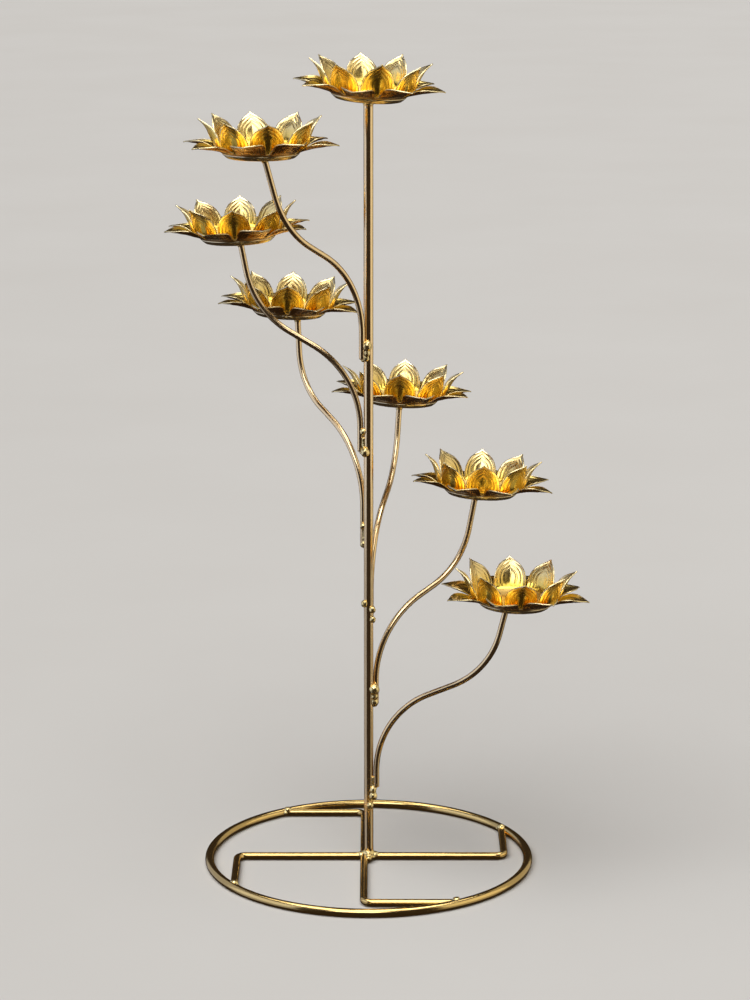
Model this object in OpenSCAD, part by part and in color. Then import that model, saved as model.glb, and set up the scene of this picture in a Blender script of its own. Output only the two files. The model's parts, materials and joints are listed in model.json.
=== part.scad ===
// Standing lamp with seven lotus cups: a round rod ring on the floor, a cross of rods
// inside it, one upright pole and six S-bent branches brazed to the pole in a rising
// spiral. Each branch, and the pole itself, carries a tiered sheet-metal lotus.
// Millimetres, +Z up. The origin is on the pole's axis, on the floor.

/* [Floor ring] */
// Outside diameter of the floor ring
ring_outer_d = 224; // [212:1:250]
// Diameter of the ring's rod
ring_rod_d = 6; // [5:0.5:8]
// Diameter of the cross rods inside the ring
cross_rod_d = 5; // [4:0.5:5]
// Distance from the pole's axis to the corner of each cross arm
arm_reach = 90; // [80:1:96]
// Centreline radius of the corner in each cross arm
arm_corner_r = 6; // [5:0.5:10]

/* [Pole] */
// Diameter of the pole
pole_d = 6.4; // [6:0.1:8]
// Height of the underside of the top lotus above the floor
pole_top_z = 521; // [510:1:560]

/* [Branches] */
// Diameter of the branch rods
branch_rod_d = 4; // [3.5:0.5:5]
// Height of the lowest branch's lower end above the floor
first_branch_z = 53; // [45:1:60]
// Average rise from one branch to the next
branch_step_z = 59.5; // [56:0.5:62]
// Compass angle of the lowest branch, counterclockwise from +X
first_branch_angle = -16; // [-30:1:0]
// Average turn from one branch to the next
branch_step_angle = 47; // [45:1:50]
// Centreline radius of each branch's lower bend
lower_bend_r = 63; // [58:1:68]

/* [Lotus] */
// Distance across the tips of the outer petals
lotus_d = 101; // [98:1:104]
// Distance across the tips of the inner petals
inner_tips_d = 80; // [78:1:82]
// Thickness of the stamped sheet
sheet = 0.8; // [0.6:0.1:1]
// Radius of the flat floor of the saucer under each lotus
floor_r = 21.5; // [21:0.1:22]
// Width of an inner petal at its widest
inner_petal_w = 21; // [19:0.5:22]
// Width of an outer petal at its widest
outer_petal_w = 22; // [20:0.5:23]

/* [Hidden] */

$fn = 64;

gold = "goldenrod";
pale_gold = "khaki";
deep_gold = "orange";

ring_rod_r = ring_rod_d / 2;
ring_r = ring_outer_d / 2 - ring_rod_r;
cross_rod_r = cross_rod_d / 2;
pole_r = pole_d / 2;

// How each cross arm was bent by hand: its compass angle, how much further out its corner
// lies, and how far it runs beside the pole's axis, towards the side that it bends to
RIGHT_ARM = [0, 3, 0];
BACK_ARM = [90, 0, 3.2];
LEFT_ARM = [180, 0, 0];
FRONT_ARM = [-90, 0, -3.2];
ARMS = [RIGHT_ARM, BACK_ARM, LEFT_ARM, FRONT_ARM];

function reach(arm) = arm_reach + arm[1];
function ring_at(arm) = sqrt(ring_r * ring_r - reach(arm) * reach(arm));

// The pole's foot is notched over the crossing, to this depth below its upper side
foot_notch = 1.2;
foot_z = ring_rod_r + cross_rod_r - foot_notch;

// Braze: how far a bead stands out from its rod, as a share of the rod's radius, how much
// of a branch's straight foot is brazed and the length of a collar on the ring
pole_bead = 1.2;
branch_drop = 1.8;
pole_drop = 1.6;
hub_mound = 1.5;
ring_collar = 1.16;
brazed_share = 0.6;
ring_collar_length = 6;

// The braze between a branch and the pole keeps the two rods this far apart
braze_gap = 0.3;
branch_r = branch_rod_d / 2;
branch_axis_r = pole_r + braze_gap + branch_r;

// The underside of each lotus clears the end of its rod by this much
tip_gap = 0.4;
rod_sides = 16;
bend_steps = 10;

// How each branch was bent by hand, lowest branch first: turn and height away from the
// even spiral, straight foot, lower bend angle, straight middle, radius of the upper
// bend, angle from upright at the tip, straight tip
BRANCHES = [
    [0, 0, 12, 65, 19, 58, 14, 19.5],
    [-4, -1.5, 17, 62, 11, 55, 12, 22.3],
    [-3, -1, 17, 62, 11, 56, 15, 18.5],
    [7, -8.5, 26, 60, 13, 44, 4, 22.7],
    [2, -4, 17, 60, 18, 59, 11, 19.3],
    [0, -0.5, 18, 59, 14, 66, 18, 25.8]
];

// How each lotus sits, lowest branch first and the top one last: distance from the rod's
// tip out to the lotus's middle, lean to the right, lean to the back, turn of its petals
SEATS = [
    [5, 2.5, 1.5, 5],
    [3.9, 3.5, 3.5, 0],
    [6, 2.5, 3.5, -4],
    [9, 2.5, 2, -1],
    [1.5, -2.3, 1, -1.5],
    [2.6, 0, 1, 11],
    [0, 3.9, -1, 10.5]
];
TOP = 6;

petals = 8;
petal_step = 360 / petals;

// The saucer carries the outer tier, and that the inner tier. All three share a flat
// floor and a sloping collar, so they nest face to face
collar_slope = 40;
saucer_r = 24.5;
slit_r = 26;

// A petal's root is this much narrower on each side than the arch that it runs into
root_inset = 0.5;

// The outer petals climb gently from the collar and level off at their tips. The rise
// is their underside, as [radius, height]
outer_tip_r = lotus_d / 2;
outer_wide_r = 36.5;
outer_root_w = 17;
OUTER_RISE = [[38, 7.3], [45, 9], [outer_tip_r + 1, 9.6]];

// The inner petals stand up steeply from the collar and flare at their tips. The rise
// is their underside, as [radius, height]
inner_tip_r = inner_tips_d / 2;
inner_collar_r = 27.5;
inner_wide_r = 30;
inner_root_w = 17.5;
inner_tip_half_angle = 61;
INNER_RISE = [[32, 17.5], [34.8, 21.3], [inner_tip_r + 1, 25.6]];

function branch_angle(i) = first_branch_angle + i * branch_step_angle + BRANCHES[i][0];
function branch_z(i) = first_branch_z + i * branch_step_z + BRANCHES[i][1];

// A branch's centreline in its own upright plane, as [distance out, height, angle from
// upright], with its lower end at the origin
function bend_out(b, a) = lower_bend_r * (1 - cos(a));
function bend_up(b, a) = b[2] + lower_bend_r * sin(a);
function upper_out(b, a) =
    bend_out(b, b[3]) + b[4] * sin(b[3]) + b[5] * (cos(a) - cos(b[3]));
function upper_up(b, a) =
    bend_up(b, b[3]) + b[4] * cos(b[3]) + b[5] * (sin(b[3]) - sin(a));
function tip_out(b) = upper_out(b, b[6]) + b[7] * sin(b[6]);
function tip_up(b) = upper_up(b, b[6]) + b[7] * cos(b[6]);
function branch_path(b) = [
    [0, 0, 0],
    for (k = [0 : bend_steps])
        let (a = b[3] * k / bend_steps)
            [bend_out(b, a), bend_up(b, a), a],
    for (k = [0 : bend_steps])
        let (a = b[3] + (b[6] - b[3]) * k / bend_steps)
            [upper_out(b, a), upper_up(b, a), a],
    [tip_out(b), tip_up(b), b[6]]
];

function seat_out(i) = i == TOP ? 0 : branch_axis_r + tip_out(BRANCHES[i]) + SEATS[i][0];
function seat_z(i) = i == TOP ? pole_top_z : branch_z(i) + tip_up(BRANCHES[i]) + tip_gap;
function seat_angle(i) = i == TOP ? 0 : branch_angle(i);

// Puts its children in the frame of lotus i: origin at the middle of the underside
module at_lotus(i) {
    rotate([0, 0, seat_angle(i)])
        translate([seat_out(i), 0, seat_z(i)])
            rotate([0, 0, -seat_angle(i)])
                rotate([-SEATS[i][2], SEATS[i][1], 0])
                    children();
}

// Everything just above the underside of lotus i, for trimming what meets it from below
module above_lotus(i) {
    at_lotus(i)
        cylinder(r = floor_r - 1, h = floor_r);
}

// Puts its children at the foot of branch i, with +X pointing away from the pole
module at_branch(i) {
    rotate([0, 0, branch_angle(i)])
        translate([branch_axis_r, 0, branch_z(i)])
            children();
}

// Puts its children at the tip of branch i, with +Z along the rod
module at_tip(i) {
    at_branch(i)
        translate([tip_out(BRANCHES[i]), 0, tip_up(BRANCHES[i])])
            rotate([0, BRANCHES[i][6], 0])
                children();
}

// A round rod swept along a path of [distance out, height, angle from upright]
module swept_rod(path, rod_r) {
    rings = len(path);
    points = [
        for (p = path)
            for (s = [0 : rod_sides - 1])
                let (c = rod_r * cos(360 * s / rod_sides))
                    [
                        p[0] + c * cos(p[2]),
                        rod_r * sin(360 * s / rod_sides),
                        p[1] - c * sin(p[2])
                    ]
    ];
    sides = [
        for (k = [0 : rings - 2])
            for (s = [0 : rod_sides - 1])
                let (t = (s + 1) % rod_sides)
                    [
                        k * rod_sides + s, (k + 1) * rod_sides + s,
                        (k + 1) * rod_sides + t, k * rod_sides + t
                    ]
    ];
    lower_end = [for (s = [0 : rod_sides - 1]) s];
    upper_end = [for (s = [rod_sides - 1 : -1 : 0]) (rings - 1) * rod_sides + s];
    polyhedron(points, concat(sides, [lower_end, upper_end]));
}

module branch(i) {
    color(gold)
        at_branch(i)
            swept_rod(branch_path(BRANCHES[i]), branch_r);
}

module pole_rod() {
    translate([0, 0, foot_z])
        cylinder(r = pole_r, h = pole_top_z + pole_r - foot_z);
}

module pole() {
    color(gold)
        difference() {
            pole_rod();
            above_lotus(TOP);
            through_rod();
            arm(FRONT_ARM);
            arm(BACK_ARM);
        }
}

// Each branch is brazed to the pole up both sides of its foot
module pole_welds() {
    color(pale_gold)
        for (i = [0 : TOP - 1])
            difference() {
                rotate([0, 0, branch_angle(i)])
                    translate([pole_r + braze_gap, 0, branch_z(i) - branch_r])
                        cylinder(r = branch_r * pole_bead, h = BRANCHES[i][2] * brazed_share + branch_r);
                pole_rod();
                at_branch(i)
                    cylinder(r = branch_r, h = BRANCHES[i][2]);
            }
}

// A drop of braze holds each lotus on its rod
module cup_welds() {
    color(pale_gold) {
        for (i = [0 : TOP - 1])
            difference() {
                at_tip(i)
                    sphere(r = branch_r * branch_drop);
                above_lotus(i);
                at_tip(i)
                    translate([0, 0, -branch_r * 3])
                        cylinder(r = branch_r, h = branch_r * 3);
            }
        difference() {
            translate([0, 0, pole_top_z - tip_gap])
                sphere(r = pole_r * pole_drop);
            above_lotus(TOP);
            pole_rod();
        }
    }
}

module ring_solid() {
    translate([0, 0, ring_rod_r])
        rotate_extrude($fn = 180)
            translate([ring_r, 0])
                circle(r = ring_rod_r);
}

module floor_ring() {
    color(gold)
        ring_solid();
}

// Half of a cross rod: out from the middle, round a corner to the left and on until it
// runs into the ring
module arm(shape) {
    aside = shape[2];
    translate([0, 0, ring_rod_r])
        rotate([0, 0, shape[0]]) {
            translate([0, aside, 0])
                rotate([0, 90, 0])
                    cylinder(r = cross_rod_r, h = reach(shape) - arm_corner_r);
            translate([reach(shape) - arm_corner_r, aside + arm_corner_r, 0])
                rotate([0, 0, -90])
                    rotate_extrude(angle = 90)
                        translate([arm_corner_r, 0])
                            circle(r = cross_rod_r);
            translate([reach(shape), aside + arm_corner_r, 0])
                rotate([-90, 0, 0])
                    cylinder(r = cross_rod_r, h = ring_at(shape) - aside - arm_corner_r);
        }
}

module through_rod() {
    arm(RIGHT_ARM);
    arm(LEFT_ARM);
}

module cross_rod() {
    color(gold)
        difference() {
            through_rod();
            ring_solid();
        }
}

module short_arm(shape) {
    color(gold)
        difference() {
            arm(shape);
            through_rod();
            ring_solid();
        }
}

// A low mound of braze over the crossing, round the foot of the pole
module hub_weld() {
    color(pale_gold)
        difference() {
            translate([0, 0, foot_z - 0.6])
                sphere(r = pole_r * hub_mound);
            translate([0, 0, -pole_d])
                cylinder(r = pole_d * 2, h = pole_d + 0.6);
            pole_rod();
            through_rod();
            arm(FRONT_ARM);
            arm(BACK_ARM);
        }
}

// A collar of braze where each cross arm runs into the ring
module ring_welds() {
    color(pale_gold)
        for (shape = ARMS)
            difference() {
                translate([0, 0, ring_rod_r])
                    rotate([0, 0, shape[0]])
                        translate([reach(shape), ring_at(shape) - ring_collar_length, 0])
                            rotate([-90, 0, 0])
                                cylinder(r = cross_rod_r * ring_collar, h = ring_collar_length);
                ring_solid();
                arm(shape);
            }
}

// A layer's underside, from the axis to the top of the collar at radius r. Layer 0 is
// the saucer, layer 1 the outer tier and layer 2 the inner tier
function nested(layer, r) = [
    [0, layer * sheet],
    [floor_r - layer * sheet * tan(collar_slope / 2), layer * sheet],
    [r, layer * sheet / cos(collar_slope) + (r - floor_r) * tan(collar_slope)]
];

function unit_normal(p, q) = [p[1] - q[1], q[0] - p[0]] / norm(q - p);
function mitre(m, n) = (m + n) / (1 + m * n);

// The profile of a bent sheet: its underside and, one thickness away, its upper side
module sheet_profile(under) {
    last = len(under) - 1;
    normals = [for (k = [0 : last - 1]) unit_normal(under[k], under[k + 1])];
    polygon(concat(
        under,
        [under[last] + sheet * normals[last - 1]],
        [for (k = [last - 1 : -1 : 1]) under[k] + sheet * mitre(normals[k - 1], normals[k])],
        [under[0] + sheet * normals[0]]
    ));
}

module saucer(i) {
    color(pale_gold)
        at_lotus(i)
            rotate_extrude()
                sheet_profile(nested(0, saucer_r));
}

// A petal's plan outline up to its widest place: the narrowing root
module petal_root(width, root_w, wide_r) {
    polygon([
        [floor_r, -root_w / 2], [wide_r, root_inset - width / 2],
        [wide_r, width / 2 - root_inset], [floor_r, root_w / 2]
    ]);
}

// An outer petal in plan: a pointed arch, as two arcs, on its root
module outer_petal_plan() {
    half = outer_petal_w / 2;
    rise = outer_tip_r - outer_wide_r;
    arch_r = (half * half + rise * rise) / outer_petal_w;
    intersection() {
        translate([outer_wide_r, arch_r - half])
            circle(r = arch_r);
        translate([outer_wide_r, half - arch_r])
            circle(r = arch_r);
    }
    petal_root(outer_petal_w, outer_root_w, outer_wide_r);
}

// An inner petal in plan: a round shoulder cut to a point, on its root
module inner_petal_plan() {
    intersection() {
        translate([inner_wide_r, 0])
            circle(r = inner_petal_w / 2);
        polygon([
            [inner_tip_r, 0],
            [inner_tip_r - inner_petal_w, -inner_petal_w * tan(inner_tip_half_angle)],
            [inner_tip_r - inner_petal_w, inner_petal_w * tan(inner_tip_half_angle)]
        ]);
    }
    petal_root(inner_petal_w, inner_root_w, inner_wide_r);
}

// Everything over a ring of petals, whose plan outline is the first child
module over_petals(turn) {
    linear_extrude(height = lotus_d / 2) {
        circle(r = slit_r);
        for (k = [0 : petals - 1])
            rotate(turn + k * petal_step)
                children();
    }
}

module outer_petals(i) {
    color(deep_gold)
        at_lotus(i)
            rotate([0, 0, SEATS[i][3]])
                intersection() {
                    rotate_extrude()
                        sheet_profile(concat(nested(1, saucer_r), OUTER_RISE));
                    over_petals(petal_step / 2)
                        outer_petal_plan();
                }
}

module inner_petals(i) {
    color(gold)
        at_lotus(i)
            rotate([0, 0, SEATS[i][3]])
                intersection() {
                    rotate_extrude()
                        sheet_profile(concat(nested(2, inner_collar_r), INNER_RISE));
                    over_petals(0)
                        inner_petal_plan();
                }
}

floor_ring();
cross_rod();
short_arm(FRONT_ARM);  // front_arm
short_arm(BACK_ARM);  // back_arm
hub_weld();
ring_welds();
pole();
pole_welds();
cup_welds();
for (i = [0 : TOP - 1])
    branch(i);
for (i = [0 : TOP]) {
    name = i == TOP ? "top" : str(i + 1);
    saucer(i);
    outer_petals(i);
    inner_petals(i);
}
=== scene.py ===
"""Looks of the standing lotus lamp: polished brass rods, braze and seven stamped-sheet lotuses.

The lamp is built in millimetres in the frame's own axes and scaled to metres in make_piece.
The studio is in metres.
"""

import json
import math
import random

import bmesh
import bpy
import numpy as np
from mathutils import Euler, Matrix, Vector, noise

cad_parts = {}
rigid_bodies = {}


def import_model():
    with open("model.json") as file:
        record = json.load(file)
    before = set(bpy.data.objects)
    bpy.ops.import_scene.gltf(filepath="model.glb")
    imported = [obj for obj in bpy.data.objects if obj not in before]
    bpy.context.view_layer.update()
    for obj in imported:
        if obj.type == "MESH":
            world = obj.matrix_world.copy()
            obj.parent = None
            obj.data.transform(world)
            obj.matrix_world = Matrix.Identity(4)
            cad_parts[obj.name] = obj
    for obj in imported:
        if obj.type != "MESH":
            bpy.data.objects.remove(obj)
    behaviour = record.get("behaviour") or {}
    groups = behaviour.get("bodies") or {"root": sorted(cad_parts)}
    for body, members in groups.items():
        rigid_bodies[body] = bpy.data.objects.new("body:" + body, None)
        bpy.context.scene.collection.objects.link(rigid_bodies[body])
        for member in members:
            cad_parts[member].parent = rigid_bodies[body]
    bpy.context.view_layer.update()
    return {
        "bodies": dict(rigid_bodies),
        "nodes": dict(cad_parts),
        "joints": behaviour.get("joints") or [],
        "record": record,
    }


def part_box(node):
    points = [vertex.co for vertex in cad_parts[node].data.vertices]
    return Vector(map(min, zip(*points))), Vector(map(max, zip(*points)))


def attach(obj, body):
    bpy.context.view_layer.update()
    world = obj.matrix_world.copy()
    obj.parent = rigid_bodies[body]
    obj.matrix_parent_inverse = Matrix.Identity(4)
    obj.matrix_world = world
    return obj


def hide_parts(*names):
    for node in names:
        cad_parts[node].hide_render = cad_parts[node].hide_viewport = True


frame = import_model()

MM = 0.001
SEED = 7

# How each branch was bent, lowest first: straight foot, lower bend angle, straight middle,
# radius of the upper bend, angle from upright at the tip, straight tip (mm and degrees)
BRANCHES = [
    (12, 65, 19, 58, 14, 19.5),
    (17, 62, 11, 55, 12, 22.3),
    (17, 62, 11, 56, 15, 18.5),
    (26, 60, 13, 44, 4, 22.7),
    (17, 60, 18, 59, 11, 19.3),
    (18, 59, 14, 66, 18, 25.8),
]
BRANCH_R = 2
LOWER_BEND_R = 63

# The arms of the floor cross: compass angle, distance out to the corner, and how far the arm
# runs beside the pole's axis
RIGHT_ARM = (0, 93, 0)
BACK_ARM = (90, 90, 3.2)
LEFT_ARM = (180, 90, 0)
FRONT_ARM = (-90, 90, -3.2)
ARM_R = 2.5
ARM_CORNER_R = 6
ARM_END_GAP = 1.5
# A short arm starts this far out from the pole's axis, just inside the through rod
SHORT_ARM_START = 0.8 * ARM_R

# Drops of braze at each branch's foot, lowest branch first: turn round the pole from the
# branch (degrees), height above its foot and radius (mm)
BRAZE_DROPS = [
    [(-25, -6, 2.9), (-58, -12.5, 2.4), (-25, -1.5, 2.4)],
    [(-45, 11.5, 3.7), (-42, 6.8, 2.7), (-35, 2.2, 2.8)],
    [(150, 12, 2.3), (-125, 8, 2.3), (-120, 1, 2.1)],
    [(30, 13, 2.1), (20, 0, 2.2)],
    [(60, 0.5, 3.0), (25, 14, 2.2)],
    [(38, 9.5, 3.3), (35, 4.6, 2.4), (28, 1.2, 2.2)],
]
# The gap that braze fills between pole and branch, and how far out of the pole a drop sits
BRAZE_GAP = 0.3
DROP_OUT = 0.7

# Each lotus: its name in the frame, how far its petals are turned and how far its lower
# petals droop (degrees)
LOTUSES = [
    ("1", 5, -1), ("2", 0, 3), ("3", -4, 1.5), ("4", -1, 4.5), ("5", -1.5, 0), ("6", 11, -0.5),
    ("top", 10.5, 0.5)
]
# Upper petals of the top lotus that were bent up more than the pattern (degrees)
TOP_RAISED = {1: 8, 2: 4, 6: 13}
# Lower petals at the front of every lotus, bent up more than the pattern (degrees)
FRONT_RAISED = {5: 3, 6: 6}
PETALS = 8
PETAL_STEP = 360 / PETALS
SHEET = 0.8
SEAT_ABOVE_UNDERSIDE = 3 * SHEET
CENTRE_R = 0.6
FLOOR_R = 21.5
SAUCER_R = 24.5
SLIT_R = 26

# Middle of the sheet from the lotus's axis to a petal's tip, as (radius, height), and half
# the petal's width at distances back from its tip, as (distance, half width)
OUTER_PROFILE = [
    (0, 1.2), (12, 1.2), (20.8, 1.25), (23, 2.5), (26, 4.6), (31, 6.3), (38, 8.2),
    (45, 9.6), (49, 9.9), (50.4, 9.6)
]
OUTER_OUTLINE = [
    (0, 0.15), (1.2, 0.9), (3, 3.1), (6, 6.6), (9.5, 9.6), (13, 10.9), (16, 11.0), (20, 10.2),
    (24.7, 9.3)
]
INNER_PROFILE = [
    (0, 2.0), (12, 2.0), (20.3, 2.05), (22.6, 2.9), (25.2, 4.5), (27.9, 6.6), (29.8, 9.3),
    (31.3, 12.4), (32.8, 16), (34.3, 19.2), (36.6, 22.3), (40.0, 25.2)
]
INNER_OUTLINE = [
    (0, 0.15), (1.2, 0.9), (2.6, 2.2), (5, 4.8), (7.6, 7.4), (11, 9.6), (14.8, 10.7), (18, 11.0),
    (23, 10.4), (27.5, 9.8)
]
SAUCER_PROFILE = [
    (CENTRE_R, SHEET / 2), (10, SHEET / 2), (FLOOR_R - 1.6, SHEET / 2), (FLOOR_R + 0.4, 1.0),
    (SAUCER_R - 0.3, 3.0)
]

# Embossed arches of a petal, as (place, width, height): 1 is the outline and 0 the middle
INNER_ARCHES = [(0.85, 0.060, -0.24), (0.65, 0.075, -0.30), (0.44, 0.070, -0.26)]
OUTER_ARCHES = [(0.74, 0.06, -0.18), (0.42, 0.07, -0.20)]
# The dimple in a petal's middle, as (width, height)
INNER_DIMPLE = (0.40, -0.18)
NO_DIMPLE = (0.1, 0.0)
# How much more the arches' lines are darkened outside a petal than inside it, as painted shade that
# draws the arches' dark lines there
OUTSIDE_ARCH_DARKENING = 1.9
# Where a petal's cupping is given, as shares of its length
CUP_PLACES = (0, 0.45, 0.8, 1)
# Distances out from the slits over which a petal narrows from its share of the disc, frees
# itself from the disc's roundness, starts to bend by hand and starts to show arches and rim
NARROWING = 1.6
ROOT_ROUND = 8
HAND_BEND = 12
ARCHES_FADE = (1.5, 6)
RIM_FADE = (3, 9)


# ---------------------------------------------------------------- mesh helpers

def smoothstep(low, high, x):
    t = np.clip((np.asarray(x, float) - low) / (high - low), 0, 1)
    return t * t * (3 - 2 * t)


def lengths_along(points):
    """Distance of each point from the first, along the line through them."""
    steps = np.linalg.norm(np.diff(points, axis=0), axis=1)
    return np.concatenate([[0], np.cumsum(steps)])


def smooth_line(points, count):
    """count points evenly along a smooth curve through the given ones (Catmull-Rom)."""
    p = np.array(points, float)
    p = np.vstack([2 * p[0] - p[1], p, 2 * p[-1] - p[-2]])
    t = np.linspace(0, 1, 12, endpoint=False)[:, None]
    curve = []
    for a, b, c, d in zip(p[:-3], p[1:-2], p[2:-1], p[3:]):
        curve.append(0.5 * (2 * b + (c - a) * t + (2 * a - 5 * b + 4 * c - d) * t ** 2
                            + (3 * b - a - 3 * c + d) * t ** 3))
    curve = np.vstack(curve + [p[-2][None]])
    length = lengths_along(curve)
    at = np.linspace(0, length[-1], count)
    return np.stack([np.interp(at, length, curve[:, k]) for k in range(p.shape[1])], 1)


def unit(v):
    return v / np.maximum(np.linalg.norm(v, axis=-1, keepdims=True), 1e-12)


def quads(a, b):
    """Faces between two rows of vertex numbers of the same length."""
    return [(a[k], a[k + 1], b[k + 1], b[k]) for k in range(len(a) - 1)]


def flipped(faces):
    return [tuple(reversed(face)) for face in faces]


def upward(z):
    return Vector((0, 0, z))


def level(radians):
    """The level direction at an angle from +X."""
    return Vector((math.cos(radians), math.sin(radians), 0))


def make_piece(name, points, faces, attributes, material, slot, node):
    """A smooth-shaded mesh from points in millimetres, standing for one CAD node."""
    mesh = bpy.data.meshes.new(name)
    mesh.from_pydata((np.asarray(points) * MM).tolist(), [], [list(f) for f in faces])
    for key, values in attributes.items():
        layer = mesh.attributes.new(key, "FLOAT", "POINT")
        layer.data.foreach_set("value", np.asarray(values, np.float32))
    mesh.polygons.foreach_set("use_smooth", [True] * len(mesh.polygons))
    mesh.validate()
    mesh.materials.append(material)
    piece = bpy.data.objects.new(name, mesh)
    bpy.context.scene.collection.objects.link(piece)
    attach(piece, "root")
    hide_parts(node)


# ---------------------------------------------------------------- rods

# A rounded end starts this many radii from the end, in this many steps
END_ROUND = 0.45
END_STEPS = 4
# How uneven a rod's surface is, and how fast that changes along it and around it
UNEVEN = 0.008
UNEVEN_ALONG = 0.045
UNEVEN_AROUND = 0.35


def swept_rod(path, radius, sides, seed=0, closed=False, round_start=False):
    """A drawn rod along a path of points, very slightly uneven from being worked by hand."""
    path = np.array(path, float)
    if closed:
        tangents = unit(np.roll(path, -1, 0) - np.roll(path, 1, 0))
    else:
        tangents = unit(np.gradient(path, axis=0))
    aside = upward(1) if abs(tangents[0][2]) < 0.9 else Vector((0, 1, 0))
    across = Vector(tangents[0]).cross(aside).normalized()
    frames = []
    for t in tangents:
        t = Vector(t)
        across = (across - t * across.dot(t)).normalized()
        frames.append((across.copy(), t.cross(across)))

    rings = []
    if round_start:
        inward = tangents[0] * radius * END_ROUND
        for k in range(END_STEPS):
            a = math.radians(90 * k / END_STEPS)
            ring_r = max(math.sin(a), 0.02) * radius
            rings.append((path[0] + inward * (1 - math.cos(a)), ring_r, frames[0]))
        path[0] = path[0] + inward
    rings += [(centre, radius, frame) for centre, frame in zip(path, frames)]

    points, along, around = [], [], []
    travelled = lengths_along(np.array([centre for centre, _, _ in rings]))
    for length, (centre, ring_r, (u, v)) in zip(travelled, rings):
        centre = Vector(centre)
        for s in range(sides):
            a = 2 * math.pi * s / sides
            out = u * math.cos(a) + v * math.sin(a)
            spot = centre * UNEVEN_ALONG + Vector((seed, 0, 0)) + out * UNEVEN_AROUND
            points.append(centre + out * ring_r * (1 + UNEVEN * noise.noise(spot)))
            along.append(length)
            around.append(a)
    rows = [[n * sides + s % sides for s in range(sides + 1)] for n in range(len(rings))]
    faces = []
    for a, b in zip(rows, rows[1:] + rows[:1] if closed else rows[1:]):
        faces += flipped(quads(a, b))
    if not closed:
        faces.append(tuple(rows[0][:-1]))
        faces += flipped([rows[-1][:-1]])
    return points, faces, {"along": along, "around": around}


def arc(centre, radius, start, end, steps):
    """Points of an arc in the floor's plane, between two angles in degrees."""
    points = []
    for k in range(steps + 1):
        a = math.radians(start + (end - start) * k / steps)
        points.append((centre[0] + radius * math.cos(a), centre[1] + radius * math.sin(a)))
    return points


def arm_path(shape, ring_r, start):
    """Half of a cross rod in the plane of the floor: out, round its corner and on."""
    _, reach, aside = shape
    out_steps, corner_steps, end_steps = 24, 10, 16
    straight = reach - ARM_CORNER_R
    turn = aside + ARM_CORNER_R
    end = math.sqrt(ring_r ** 2 - reach ** 2) - ARM_END_GAP
    out = [(start + (straight - start) * k / out_steps, aside) for k in range(out_steps)]
    corner = arc((straight, turn), ARM_CORNER_R, -90, 0, corner_steps)
    on = [(reach, turn + (end - turn) * k / end_steps) for k in range(1, end_steps + 1)]
    return out + corner + on


def turned(points, degrees, z):
    """Points of the floor's plane, turned round the pole's axis and lifted to a height."""
    c, s = math.cos(math.radians(degrees)), math.sin(math.radians(degrees))
    return [(x * c - y * s, x * s + y * c, z) for x, y in points]


def straight_on(start, length, lean, steps):
    """Points on from a start that isn't among them, at an angle from upright."""
    x, z = start
    return [(x + length * math.sin(lean) * k / steps, z + length * math.cos(lean) * k / steps)
            for k in range(1, steps + 1)]


def branch_path(shape):
    """A branch's centreline as (distance out, height), from its foot."""
    foot, lower, middle, upper_r, lean, tip = shape
    bend_steps, straight_steps, tip_steps = 25, 5, 6
    lower, lean = math.radians(lower), math.radians(lean)
    points = [(0, foot * k / straight_steps) for k in range(straight_steps)]
    for k in range(bend_steps + 1):
        a = lower * k / bend_steps
        points.append((LOWER_BEND_R * (1 - math.cos(a)), foot + LOWER_BEND_R * math.sin(a)))
    points += straight_on(points[-1], middle, lower, straight_steps)
    x, z = points.pop()
    for k in range(bend_steps + 1):
        a = lower + (lean - lower) * k / bend_steps
        points.append((x + upper_r * (math.cos(a) - math.cos(lower)),
                       z + upper_r * (math.sin(lower) - math.sin(a))))
    return points + straight_on(points[-1], tip, lean, tip_steps)


# ---------------------------------------------------------------- lotus

def petal_scale(x, back, outline, focus):
    """How far each point is from a petal's middle: 1 on its outline, 0 in the middle."""
    at, half = np.array(outline, float).T
    low = np.full(x.shape, 0.02)
    high = np.full(x.shape, 1.0)
    halvings = 14
    for _ in range(halvings):
        middle = (low + high) / 2
        reach = focus - (focus - back) / middle
        inside = np.abs(x) / middle <= np.where(reach >= 0, np.interp(reach, at, half), 0)
        high = np.where(inside, middle, high)
        low = np.where(inside, low, middle)
    return high


def emboss(scale, arches, dimple):
    """Height of the stamped arches and dimple, in millimetres."""
    height = np.zeros(scale.shape)
    for place, width, rise in arches:
        height += rise * np.exp(-((scale - place) / width) ** 2)
    return height + dimple[1] * (1 - smoothstep(0, dimple[0], scale))


def sheet_normals(surface):
    """Unit normals of a grid of points."""
    return unit(np.cross(np.gradient(surface, axis=0), np.gradient(surface, axis=1)))


def rounded_edge(middle, normal, out):
    """Three points round the edge of a sheet, from its upper side to its lower side."""
    return [middle + SHEET / 2 * (normal * math.cos(t) + out * math.sin(t))
            for t in (math.radians(45), math.radians(90), math.radians(135))]


def hand_work(rng, droop):
    """How far the hand that bent a petal was off the pattern."""
    return {
        "lean": math.radians(rng.gauss(droop, 2.2)),
        "twist": math.radians(rng.gauss(0, 2.2)),
        "sway": math.radians(rng.gauss(0, 1.3)),
        "width": 1 + rng.uniform(-0.02, 0.02),
        "cup": 1 + rng.uniform(-0.15, 0.15),
    }


class Skin:
    """The points, faces and finish of a sheet while it is put together. The finish also says where
    highlight and shade are painted.
    """

    def __init__(self):
        self.points = []
        self.faces = []
        self.finish = {key: [] for key in ("relief", "rim", "out", "angle", "bright", "shade")}

    def add(self, position, **finish):
        """Adds a point and gives its number. What isn't said of its finish is 0."""
        self.points.append(position)
        for key, values in self.finish.items():
            values.append(finish.get(key, 0.0))
        return len(self.points) - 1


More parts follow.
